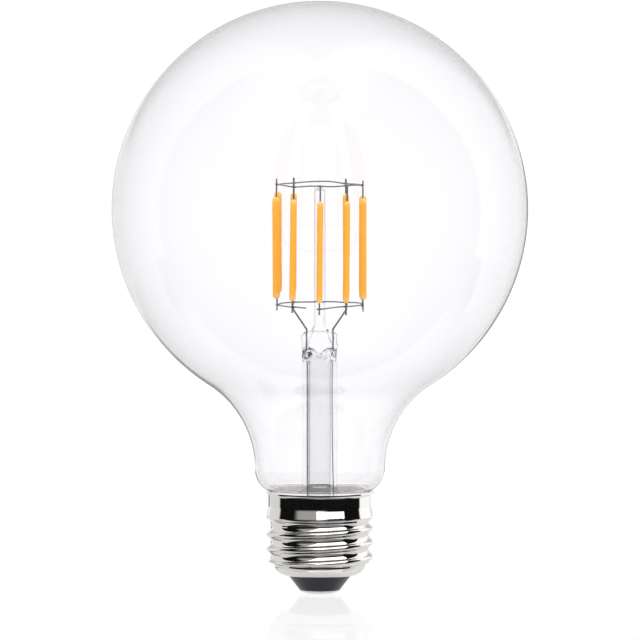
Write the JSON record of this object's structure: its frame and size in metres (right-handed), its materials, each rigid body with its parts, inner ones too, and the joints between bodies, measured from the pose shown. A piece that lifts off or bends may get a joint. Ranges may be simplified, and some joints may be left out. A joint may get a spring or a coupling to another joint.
{
  "type": "globe bulb",
  "caption": "Clear glass globe bulb with a cage of LED filament sticks on a glass stem and a threaded metal screw cap with a black insulator and centre contact.",
  "frame": {"origin": "middle of the flat tip of the centre contact, the lowest point of the bulb", "axes": "+Z along the bulb's axis from the contact to the globe, -Y towards the front of the cage"},
  "size_m": [0.103, 0.103, 0.1469],
  "materials": {
    "clear_glass": "clear blown glass",
    "stem_glass": "clear drawn glass, faintly blue-green",
    "nickel": "bright nickel plate over rolled sheet",
    "black_insulator": "black insulating glass, satin",
    "cement": "matt beige basing cement",
    "wire": "drawn nickel-iron wire, slightly dulled",
    "phosphor": "orange-yellow phosphor silicone, satin",
    "board": "pale glass-fibre board",
    "black_package": "moulded black package",
    "can": "shrunk sleeve on a small can",
    "resistor": "lacquered body",
    "hookup": "insulated hook-up wire"
  },
  "bodies": {
    "root": {"centre_contact": "nickel", "cap_insulator": "black_insulator", "screw_shell": "nickel", "basing_cement": "cement", "glass_envelope": "clear_glass", "stem_flare": "stem_glass", "exhaust_tube": "stem_glass", "support_post": "stem_glass", "lead_wire_left": "wire", "lead_wire_right": "wire", "upper_ring": "wire", "lower_ring_right": "wire", "lower_ring_left": "wire", "driver_board": "board", "smoothing_capacitor": "can", "bridge_rectifier": "black_package", "driver_chip": "black_package", "fuse_resistor": "resistor", "tip_wire": "hookup", "shell_wire": "hookup", "anchor_wire_1": "wire", "anchor_wire_2": "wire", "anchor_wire_3": "wire", "filament_1": "phosphor", "upper_tab_1": "wire", "lower_tab_1": "wire", "filament_2": "phosphor", "upper_tab_2": "wire", "lower_tab_2": "wire", "filament_3": "phosphor", "upper_tab_3": "wire", "lower_tab_3": "wire", "filament_4": "phosphor", "upper_tab_4": "wire", "lower_tab_4": "wire", "filament_5": "phosphor", "upper_tab_5": "wire", "lower_tab_5": "wire", "filament_6": "phosphor", "upper_tab_6": "wire", "lower_tab_6": "wire", "filament_7": "phosphor", "upper_tab_7": "wire", "lower_tab_7": "wire", "filament_8": "phosphor", "upper_tab_8": "wire", "lower_tab_8": "wire", "filament_9": "phosphor", "upper_tab_9": "wire", "lower_tab_9": "wire"}
  },
  "joints": []
}
